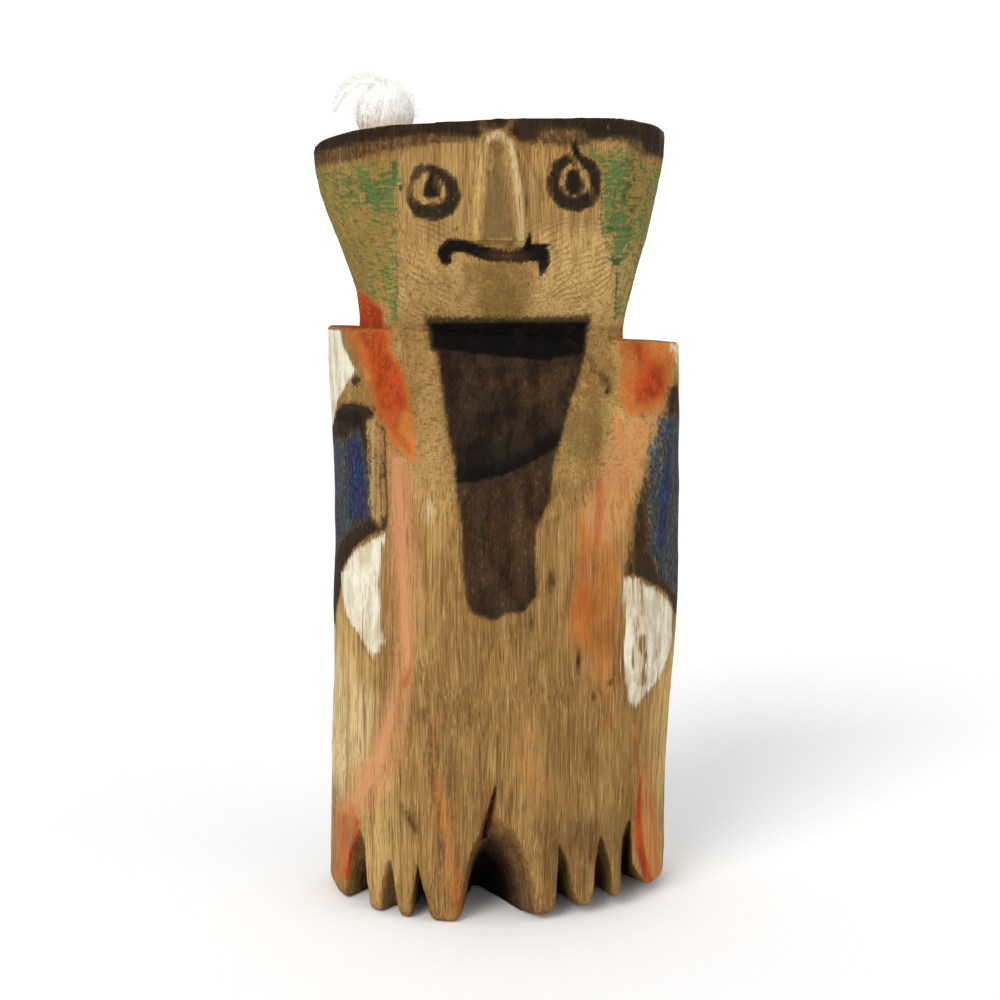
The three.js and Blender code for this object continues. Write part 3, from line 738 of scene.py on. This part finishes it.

# %% Painted shade and dirt in the notches
# The root's round front, before the notches: an arch in plan about x = -0.5.
ARCH_BACK, ARCH_DEEP, ARCH_HALF, ARCH_POWER = 16, 44, 53.8, 2.2
from_middle = np.minimum(np.abs(x + 0.5) / ARCH_HALF, 1)
log_front = ARCH_BACK - ARCH_DEEP * (1 - from_middle ** ARCH_POWER) ** (1 / ARCH_POWER)
sunk = y - log_front        # how deep a spot lies behind that arch
in_notch = (1 - ramp(facing[:, 1], 0.2, 0.5)) * (1 - ramp(z, 34, 42))
in_notch = in_notch * (1 - ramp(np.abs(x), 49, 51) * ramp(y, 8, 12))
# Painted shade, with some dirt: the notch walls darken the deeper they lie behind the root's front.
lay("umber", sunk - 0.9, 0.6, 0.8, in_notch)
lay("umber", sunk - 7, 0.9, 6, in_notch)
in_middle = in_notch * ramp(x, -20, -17) * (1 - ramp(x, 9, 13))
slit = in_notch * ramp(z, 29.5, 31.5) * ramp(x, -14, -12) * (1 - ramp(x, -4, -1))
lay("rust", sunk - 0.8, 0.66, 0.8, slit)
# Painted shade: the deepest parts of the notches go nearly black, most of all in the big one in the middle.
lay("soot", sunk - 11 + 0.25 * (x + 8), 1, 7, in_middle * (1 - ramp(z, 22, 29)))
lay("soot", sunk - 12, 0.6, 8, in_notch * (1 - 0.7 * ramp(z, 22, 29)))
fill("red", [(-48.6, 27), (-44, 27), (-44.6, 14), (-49, 12)], 0.6, 2, in_notch * ramp(sunk, 0.6, 1.4))
brush("umber", [(-9, 30), (-7, 36), (-4.4, 44)], [3, 2, 1.2], 0.8, 1.4)

# %% Cross-grain ripples
NOSE_LINE = -3.9
middle = x - NOSE_LINE
on_front = faces_front * (1 - ramp(z, 205, 210)) * ramp(z, 177, 182)
on_front = on_front * (0.45 + 0.55 * ramp(np.abs(middle), 10, 18))
on_cheeks = ramp(np.abs(middle), 27, 30) * ramp(z, 180, 190) * (1 - ramp(y, 18, 24))
paints["ripple"] = np.clip(on_front + on_cheeks, 0, 1)
paints["pitted"] = faces_front * ramp(z, 126, 136) * (1 - ramp(z, 203, 210)) * (1 - 0.5 * ramp(z, 176, 180))
paints["arc"] = z - 16 * (1 - np.exp(-middle ** 2 / 800))      # height, less a bow 16 mm high
for name in sorted(paints):
    print("  ", name, "covers", round(float((paints[name] > 0.5).mean()) * 100, 1), "% of the wood")

# %% [markdown]
# ## From loads to paint
# Each load is stored on the mesh as an attribute that the material reads. Storing it on the mesh
# keeps every mark fixed to the wood, from any side.

# %% Store the loads
for name, values in paints.items():
    attribute = wood.data.attributes.new("paint_" + name, "FLOAT", "POINT")
    attribute.data.foreach_set("value", values.astype(np.float32))
print("stored", len(paints), "layers")


# %% Small helpers for shader nodes
def add(kind, settings=None, **inputs):
    """A node in the tree being built, with its settings and its input values or links by name."""
    made = tree.nodes.new("ShaderNode" + kind)
    for key, value in (settings or {}).items():
        setattr(made, key, value)
    for key, value in inputs.items():
        numbered = key[0] == "i" and key[1:].isdigit()
        join(value, made.inputs[int(key[1:]) if numbered else key.replace("_", " ")])
    return made


def join(value, socket):
    """Links a socket's output, or sets a value."""
    if isinstance(value, bpy.types.NodeSocket):
        tree.links.new(value, socket)
    else:
        socket.default_value = value


def new_group(name, inputs, outputs):
    group = bpy.data.node_groups.new(name, "ShaderNodeTree")
    for label, kind, value in inputs:
        socket = group.interface.new_socket(label, in_out="INPUT", socket_type="NodeSocket" + kind)
        if value is not None:
            socket.default_value = value
    for label, kind in outputs:
        group.interface.new_socket(label, in_out="OUTPUT", socket_type="NodeSocket" + kind)
    return group, group.nodes.new("NodeGroupInput").outputs, group.nodes.new("NodeGroupOutput").inputs


def blend(factor, a, b):
    """Colour b over colour a by a factor."""
    made = add("Mix", {"data_type": "RGBA"})
    for label, value in (("Factor", factor), ("A", a), ("B", b)):
        join((*value, 1) if isinstance(value, tuple) else value, made.inputs[label])
    return made.outputs["Result"]


def sums(kind, a, b, clamp=False):
    return add("Math", {"operation": kind, "use_clamp": clamp}, i0=a, i1=b).outputs[0]


def times(a, b, clamp=False):
    return sums("MULTIPLY", a, b, clamp)


def plus(a, b):
    return sums("ADD", a, b)


def minus(a, b):
    return sums("SUBTRACT", a, b)


def spread(value, low, high, to_low=0.0, to_high=1.0):
    """Takes the range low to high to another one, with a smooth step between."""
    return add("MapRange", {"interpolation_type": "SMOOTHSTEP"}, Value=value, From_Min=low, From_Max=high,
               To_Min=to_low, To_Max=to_high).outputs["Result"]


def noise(vector, squash, scale, detail, rough, shift=(0, 0, 0), distortion=0.0):
    """A noise whose pattern is drawn out along an axis where squash is under 1."""
    placed = add("Mapping", Vector=vector, Scale=squash, Location=shift)
    return add("TexNoise", Vector=placed.outputs[0], Scale=scale, Detail=detail, Roughness=rough,
               Distortion=distortion).outputs["Fac"]


# %% [markdown]
# ## Grain of the root wood
# Cottonwood root is pale, soft and stringy. A noise drawn out along z gives the fibres, a finer
# one the hairlines between them, short dark dashes are the vessels, and rings round the root's
# heart, which lay behind the flat back, tint wide bands. One group makes them all as a solid
# pattern, so a surface cut along the grain shows streaks and one cut across it shows specks.

# %% Node group: root wood grain
grain_group, coming, going = new_group(
    "Root wood grain", [("Vector", "Vector", None)],
    [(label, "Float") for label in ("Fibre", "Hairline", "Vessel", "Ring", "Mottle", "Height")])
tree = grain_group
wander = add("TexNoise", Vector=coming["Vector"], Scale=22.0, Detail=1.0).outputs["Color"]
bent = add("VectorMath", {"operation": "MULTIPLY_ADD"}, i0=wander, i1=(0.004, 0.004, 0.0),
           i2=coming["Vector"]).outputs[0]
fibre = noise(bent, (1, 1, 1 / 55), 1350, 3, 0.66)
hair = noise(bent, (1, 1, 1 / 36), 2600, 2, 0.7, (0.03, 0.03, 0))
dash = noise(bent, (1, 1, 1 / 34), 1600, 1, 0.5, (0.07, 0.07, 0))
vessel = spread(dash, 0.64, 0.74)
HEART = (-0.004, -0.047, 0.0)       # moves the middle of the rings behind the flat back
RINGS = 2100.0                      # radians to the metre: a ring every 3 mm
flat = add("VectorMath", {"operation": "MULTIPLY_ADD"}, i0=bent, i1=(1, 1, 0.02), i2=HEART).outputs[0]
reach = add("VectorMath", {"operation": "LENGTH"}, i0=flat).outputs["Value"]
ring = spread(add("Math", {"operation": "SINE"}, i0=times(reach, RINGS)).outputs[0], -1.0, 1.0)
mottle = noise(coming["Vector"], (1, 1, 0.5), 58.0, 4.0, 0.6)
height = minus(plus(fibre, times(hair, 0.55)), times(vessel, 0.35))
for label, value in zip(("Fibre", "Hairline", "Vessel", "Ring", "Mottle", "Height"),
                        (fibre, hair, vessel, ring, mottle, height)):
    join(value, going[label])
print("made group", grain_group.name)

# %% [markdown]
# ## Worn paint
# The load meets the fibre pattern: where their sum passes one half there is paint. A full load
# covers all but the deepest furrows, a middling one leaves streaks, and an edge turns ragged.
# Thin paint also lets the wood show through, so the cover grows from Thin to Thick with the load.

# %% Node group: worn paint
paint_group, coming, going = new_group(
    "Worn paint", [("Load", "Float", 0.0), ("Pattern", "Float", 0.5), ("Drag", "Float", 1.5),
                   ("Crisp", "Float", 0.06), ("Thin", "Float", 0.5), ("Thick", "Float", 1.0)],
    [("Mask", "Float")])
tree = paint_group
pushed = add("Math", {"operation": "MULTIPLY_ADD"}, i0=minus(coming["Pattern"], 0.5), i1=coming["Drag"],
             i2=coming["Load"]).outputs[0]
mask = spread(pushed, minus(0.5, coming["Crisp"]), plus(0.5, coming["Crisp"]))
present = spread(coming["Load"], 0.02, 0.14)
body = spread(coming["Load"], 0.45, 0.98, coming["Thin"], coming["Thick"])
join(times(times(mask, present), body, True), going["Mask"])
print("made group", paint_group.name)

# %% [markdown]
# ## The painted wood
# Colours go on in the order the painter and the years put them: bare wood, its stains and the
# painted shade in creases and notches, the thin earth washes, then green, blue, black and white,
# and soot with the deepest painted shade last of all. The knife's ripples on cheeks and chin are
# fine lines that bow up towards the sides, drawn from the arc layer.

# %% The bare wood
painted = bpy.data.materials.new("painted_root_wood")
painted.use_nodes = True
tree = painted.node_tree
shader = tree.nodes["Principled BSDF"]
place = add("TexCoord").outputs["Object"]
g = add("Group", {"node_tree": grain_group}, Vector=place).outputs


def load_of(name):
    return add("Attribute", {"attribute_name": "paint_" + name}).outputs["Fac"]


def worn(name, drag, crisp, pattern, thin, thick):
    made = add("Group", {"node_tree": paint_group}, Load=load_of(name), Pattern=pattern, Drag=drag,
               Crisp=crisp, Thin=thin, Thick=thick)
    return made.outputs["Mask"]


speck = noise(place, (1, 1, 0.5), 1100.0, 3.0, 0.68)
patchy = noise(place, (1, 1, 0.4), 190.0, 4.0, 0.65, (0.3, 0.1, 0))
shade = spread(g["Mottle"], 0.36, 0.64)
wood_tone = blend(shade, (0.235, 0.125, 0.036), (0.345, 0.2, 0.064))
wood_tone = blend(times(g["Ring"], 0.2), wood_tone, (0.32, 0.16, 0.042))
wood_tone = blend(times(load_of("pale"), 0.85), wood_tone, (0.6, 0.395, 0.145))
# Bleached wood, which also carries the painted highlight on the nose's right flank.
wood_tone = blend(times(load_of("bleach"), 0.95), wood_tone, (0.8, 0.68, 0.41))
wood_tone = blend(spread(patchy, 0.5, 0.32, 0, 0.25), wood_tone, (0.2, 0.1, 0.034))
lined = spread(load_of("pitted"), 0, 1, 1.0, 0.35)
year = noise(place, (1, 1, 0.045), 360.0, 3.0, 0.6)
wood_tone = blend(times(lined, spread(year, 0.52, 0.36, 0, 0.5)), wood_tone, (0.17, 0.082, 0.024))
wood_tone = blend(spread(year, 0.55, 0.68, 0, 0.35), wood_tone, (0.5, 0.33, 0.13))
wood_tone = blend(times(lined, spread(g["Fibre"], 0.49, 0.3, 0, 0.58)), wood_tone, (0.15, 0.068, 0.02))
wood_tone = blend(times(lined, spread(g["Hairline"], 0.48, 0.32, 0, 0.66)), wood_tone, (0.09, 0.042, 0.014))
wood_tone = blend(spread(g["Hairline"], 0.54, 0.7, 0, 0.42), wood_tone, (0.62, 0.42, 0.18))
wood_tone = blend(times(lined, times(g["Vessel"], 0.42)), wood_tone, (0.08, 0.038, 0.014))
torn = noise(place, (0.5, 0.5, 1), 1300.0, 2.0, 0.6, distortion=0.6)
wood_tone = blend(times(load_of("pitted"), spread(torn, 0.47, 0.33, 0, 0.7)), wood_tone, (0.16, 0.08, 0.024))
print("bare wood:", len(tree.nodes), "nodes so far")

# %% Ripples across the grain
jitter = add("TexNoise", Vector=place, Scale=75.0, Detail=2.0, Roughness=0.5).outputs["Fac"]
phase = plus(times(load_of("arc"), 3.7), times(jitter, 26.0))
ripple = spread(add("Math", {"operation": "SINE"}, i0=phase).outputs[0], -0.1, 1.0)
rippled = times(load_of("ripple"), ripple)
rippled = times(rippled, spread(patchy, 0.42, 0.62, 0.0, 1.0))
wood_tone = blend(times(rippled, 0.55), wood_tone, (0.24, 0.12, 0.036))

# %% Washes
streak = plus(times(g["Fibre"], 0.55), times(g["Hairline"], 0.45))
broken = plus(times(streak, 0.45), times(speck, 0.55))
clouded = plus(times(broken, 0.5), times(patchy, 0.5))
# The umber layer is real stain and paint, and also the painted shade in the notches and creases.
dirt_and_shade = load_of("umber")
stain_and_shade = times(dirt_and_shade, spread(clouded, 0.4, 0.6, 1.0, 0.35), True)
tone = blend(stain_and_shade, wood_tone, blend(spread(dirt_and_shade, 0.3, 0.9), (0.085, 0.038, 0.014), (0.026, 0.013, 0.008)))
tone = blend(worn("rust", 2.2, 0.36, clouded, 0.45, 0.85), tone,
             blend(shade, (0.36, 0.1, 0.02), (0.56, 0.17, 0.03)))
tone = blend(worn("rose", 2.2, 0.42, broken, 0.36, 0.72), tone, (0.6, 0.265, 0.125))
tone = blend(worn("red", 2.4, 0.26, clouded, 0.5, 0.94), tone,
             blend(spread(clouded, 0.42, 0.56), (0.25, 0.028, 0.008), (0.44, 0.062, 0.012)))
tone = blend(worn("grey", 2.8, 0.36, broken, 0.45, 0.8), tone, (0.105, 0.068, 0.024))
print("washes on:", len(tree.nodes), "nodes so far")

# %% Green, blue, black, white, soot and painted shade
flake = noise(place, (0.3, 0.3, 1), 980.0, 3.0, 0.7, distortion=0.4)
flaked = plus(times(flake, 0.65), times(patchy, 0.35))
tone = blend(worn("moss", 1.6, 0.35, clouded, 0.4, 0.62), tone, (0.27, 0.2, 0.045))
tone = blend(worn("green", 3.9, 0.2, flaked, 0.66, 0.92), tone,
             blend(spread(clouded, 0.42, 0.57), (0.008, 0.05, 0.016), (0.042, 0.155, 0.05)))
depth_of_blue = spread(load_of("blue"), 0.8, 0.96)
slate = blend(spread(streak, 0.42, 0.56), (0.018, 0.027, 0.036), (0.075, 0.135, 0.17))
deep = blend(spread(speck, 0.42, 0.6), (0.012, 0.018, 0.055), (0.065, 0.11, 0.3))
tone = blend(worn("blue", 2.5, 0.2, broken, 0.84, 0.97), tone, blend(depth_of_blue, slate, deep))
inked = plus(times(streak, 0.5), times(speck, 0.5))
black_mask = worn("black", 2.9, 0.12, inked, 0.74, 1.0)
black_mask = times(black_mask, spread(plus(patchy, times(load_of("black"), 0.5)), 0.7, 0.94, 0.8, 1.0))
soft_black = blend(spread(patchy, 0.4, 0.6), (0.005, 0.0034, 0.0026), (0.024, 0.015, 0.0095))
tone = blend(black_mask, tone, blend(spread(load_of("black"), 0.82, 0.99), soft_black,
                                     (0.0032, 0.0025, 0.002)))
white_mask = worn("white", 2.2, 0.14, streak, 0.62, 0.97)
tone = blend(white_mask, tone, blend(spread(patchy, 0.36, 0.6), (0.55, 0.47, 0.32), (0.78, 0.75, 0.61)))
# Soot and painted shade: the darkest layer, nearly black deep in the notches.
tone = blend(load_of("soot"), tone, (0.004, 0.003, 0.0025))
join(tone, shader.inputs["Base Color"])

# %% Roughness and fine relief
rough = spread(plus(black_mask, load_of("umber")), 0, 1, 0.9, 0.74)
join(rough, shader.inputs["Roughness"])
shader.inputs["Specular IOR Level"].default_value = 0.06
relief = plus(g["Height"], times(white_mask, 0.12))
relief = plus(relief, times(speck, 0.4))
relief = minus(relief, times(rippled, 0.55))
relief = plus(relief, times(load_of("pitted"), torn))
bump = add("Bump", Strength=0.8, Distance=0.0007, Height=relief)
join(bump.outputs["Normal"], shader.inputs["Normal"])
wood.data.materials.append(painted)
print("made material", painted.name, "with", len(tree.nodes), "nodes")

# %% Smooth the wood's shading but keep the cut edges
pick(wood)
bpy.ops.object.shade_smooth_by_angle(angle=math.radians(38))
wood.data.calc_loop_triangles()
print("wood:", len(wood.data.loop_triangles), "triangles")

# %% [markdown]
# ## The feather
# A down feather has a thin quill and soft barbs that carry finer barbules and curl each their own
# way. Low on the quill they are long and make a round puff, and further on they lie close while
# the quill curls over and down. Every barb is a thin tapered strand of a curve object, which is
# turned into one mesh.

# %% The quill's line
HEAD_TOP, RISE_ACROSS, FALL_BACK = 234.1, 0.043, 0.06
spine = [Vector(p) for p in (
    (-31, -3, 224.9), (-31, -3, 231), (-31.4, -3, 236), (-32.8, -3, 241), (-35.4, -3.2, 245),
    (-39.8, -3.2, 247.6), (-44.6, -2.6, 246.7), (-48.2, -2.1, 243.6), (-50.2, -1.8, 239.2))]


def on_spine(t):
    """Point and direction at a share t of the quill's line, smooth through its points."""
    s = t * (len(spine) - 1)
    k = min(int(s), len(spine) - 2)
    u = s - k
    p0, p1, p2, p3 = (spine[max(min(k + j, len(spine) - 1), 0)] for j in (-1, 0, 1, 2))
    point = 0.5 * (2 * p1 + (p2 - p0) * u + (2 * p0 - 5 * p1 + 4 * p2 - p3) * u ** 2
                   + (3 * p1 - p0 - 3 * p2 + p3) * u ** 3)
    way = 0.5 * ((p2 - p0) + 2 * (2 * p0 - 5 * p1 + 4 * p2 - p3) * u + 3 * (3 * p1 - p0 - 3 * p2 + p3) * u * u)
    return point, way.normalized()


def head_top(point):
    """Height of the head's sloping top under a point, with a little air over it."""
    return HEAD_TOP + RISE_ACROSS * point.x - FALL_BACK * (point.y + 5)


# %% Strands
chance = np.random.default_rng(11)
strands = bpy.data.curves.new("strands", "CURVE")
strands.dimensions = "3D"
strands.bevel_depth = MM
strands.bevel_resolution = 0
strands.use_fill_caps = True


def strand(points, radii):
    line = strands.splines.new("POLY")
    line.points.add(len(points) - 1)
    for spot, point, radius in zip(line.points, points, radii):
        spot.co = (*(point * MM), 1)
        spot.radius = radius


quill_points = [on_spine(t)[0] for t in np.linspace(0, 1, 40)]
strand(quill_points, [0.5 - 0.44 * t ** 0.7 for t in np.linspace(0, 1, 40)])


def barbules(points, way, many, long, radius):
    """Fine side hairs from random places along a barb."""
    for _ in range(many):
        i = int(chance.integers(1, len(points)))
        hair_way = Vector(chance.normal(0, 1, 3)).normalized()
        mid = points[i] + (hair_way + way * 0.7) * long * (0.3 + 0.4 * chance.random())
        end = mid + (hair_way * 0.8 + Vector(chance.normal(0, 0.5, 3))) * long * 0.5
        for spot in (mid, end):
            spot.z = max(spot.z, head_top(spot))
        strand([points[i], mid, end], [radius, radius * 0.8, radius * 0.35])


# %% The puff: barbs that curl round a rounded shape
puff_middle = Vector((-35.4, -3, 238.2))
puff_reach = Vector((9, 5, 9))
PUFF_BARBS, LOOSE_BARBS, BASE_BARBS, VANE_BARBS = 300, 110, 60, 130
GOLDEN_TURN = 2.399     # radians from one barb to the next, so that no two lie in line


def on_puff(way, share_out):
    spot = puff_middle + Vector((way.x * puff_reach.x, way.y * puff_reach.y, way.z * puff_reach.z)) * share_out
    spot.z = max(spot.z, head_top(spot))
    return spot


for turn in range(PUFF_BARBS):
    around = turn * GOLDEN_TURN + 0.3 * chance.random()
    start_angle = 2.5 - 0.9 * chance.random()
    sweep = 0.9 + 0.9 * chance.random()
    reach_out = 0.86 + 0.12 * chance.random()
    points = []
    for k in range(9):
        down_from_top = start_angle - sweep * k / 8
        turned = around + 0.35 * k / 8
        way = Vector((math.sin(down_from_top) * math.cos(turned), math.sin(down_from_top) * math.sin(turned),
                      math.cos(down_from_top)))
        points.append(on_puff(way, reach_out + 0.12 * max(0, k - 6)))
    strand(points, [0.085 - 0.007 * k for k in range(9)])
    barbules(points, (points[-1] - points[0]).normalized(), 7, 1.1, 0.035)

# %% Fly-away barbs that leave the puff's outline
for turn in range(LOOSE_BARBS):
    way = Vector(chance.normal(0, 1, 3))
    way.z = abs(way.z) * 0.9 - 0.2
    way.normalize()
    drift = Vector(chance.normal(0, 0.9, 3))
    points = [on_puff(way, 0.9 + 0.085 * k) + drift * (k / 3) ** 2 * 0.5 for k in range(4)]
    strand(points, [0.06, 0.05, 0.035, 0.02])
    barbules(points, way, 5, 0.8, 0.025)

# %% The base: warm short barbs round the quill where it leaves the hole
for turn in range(BASE_BARBS):
    angle = turn * 2.4
    foot = on_spine(0.12 + 0.1 * chance.random())[0]
    tip_spot = on_puff(Vector((math.cos(angle), math.sin(angle), -0.7)).normalized(), 0.9)
    strand([foot, foot.lerp(tip_spot, 0.5) + Vector((0, 0, 0.6)), tip_spot], [0.16, 0.13, 0.05])

# %% The curled vane: barbs close together on both sides of the quill
for side in (-1, 1):
    for turn in range(VANE_BARBS):
        t = 0.46 + 0.53 * turn / VANE_BARBS
        start, way = on_spine(t)
        outward = Vector((way.z, 0, -way.x)).normalized() * side
        length = 3.3 * math.sin(math.pi * min(0.25 + 0.75 * turn / VANE_BARBS, 1)) ** 0.8 + 0.5
        length = length * (0.75 + 0.35 * chance.random())
        lean = (outward * 0.62 + way * 0.78 + Vector((0, chance.normal(0, 0.16), 0))).normalized()
        points = [start + lean * length * k / 4 + way * 0.05 * k * k * length / 3 for k in range(5)]
        strand(points, [0.13 - 0.022 * k for k in range(5)])
        barbules(points, way, 3, 0.7, 0.04)
down = bpy.data.objects.new("down_feather", strands)
bpy.context.scene.collection.objects.link(down)
pick(down)
bpy.ops.object.convert(target="MESH")
down = bpy.context.object

# %% The heart of the puff
# So many fine hairs lie in the middle that they read as one soft white mass.
clear_selection()
bpy.ops.mesh.primitive_uv_sphere_add(segments=40, ring_count=28, radius=MM)
heart = bpy.context.object
bpy.ops.object.mode_set(mode="EDIT")
bpy.ops.transform.resize(value=(puff_reach.x * 0.88, puff_reach.y * 0.84, puff_reach.z * 0.88))
bpy.ops.transform.translate(value=puff_middle * MM)
bpy.ops.object.mode_set(mode="OBJECT")
for corner in heart.data.vertices:
    spot = corner.co / MM
    ridge = 1 + 0.045 * math.sin(2.1 * spot.x + 1.3 * math.sin(0.9 * spot.z))
    ridge += 0.03 * math.sin(2.9 * spot.z + spot.x)
    spot = puff_middle + (spot - puff_middle) * ridge
    spot.z = max(spot.z, head_top(spot) + 0.2)
    corner.co = spot * MM
bpy.ops.object.shade_smooth()
clear_selection()
heart.select_set(True)
down.select_set(True)
bpy.context.view_layer.objects.active = down
bpy.ops.object.join()
down.data.calc_loop_triangles()
print("feather:", len(down.data.loop_triangles), "triangles")

# %% Feather material
fluff = bpy.data.materials.new("white_down")
fluff.use_nodes = True
tree = fluff.node_tree
shader = tree.nodes["Principled BSDF"]
place = add("TexCoord").outputs["Object"]
up = add("SeparateXYZ", Vector=place).outputs["Z"]
along_barb = add("TexNoise", Vector=place, Scale=420.0, Detail=2.0).outputs["Fac"]
clean = blend(spread(along_barb, 0.35, 0.65), (0.95, 0.945, 0.91), (0.99, 0.99, 0.975))
warm = blend(spread(up, 0.2325, 0.2385, 0.75, 0.0), clean, (0.88, 0.74, 0.62))
# The feather turns greyer and greener towards its top.
greyer_top = blend(spread(up, 0.2445, 0.2475, 0.0, 0.3), warm, (0.8, 0.8, 0.66))
join(greyer_top, shader.inputs["Base Color"])
join(spread(along_barb, 0.3, 0.7, 0.75, 0.95), shader.inputs["Roughness"])
shader.inputs["Specular IOR Level"].default_value = 0.2
down.data.materials.clear()
down.data.materials.append(fluff)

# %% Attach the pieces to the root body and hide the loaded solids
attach(wood, "root")
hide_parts("doll")
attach(down, "root")
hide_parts("feather")
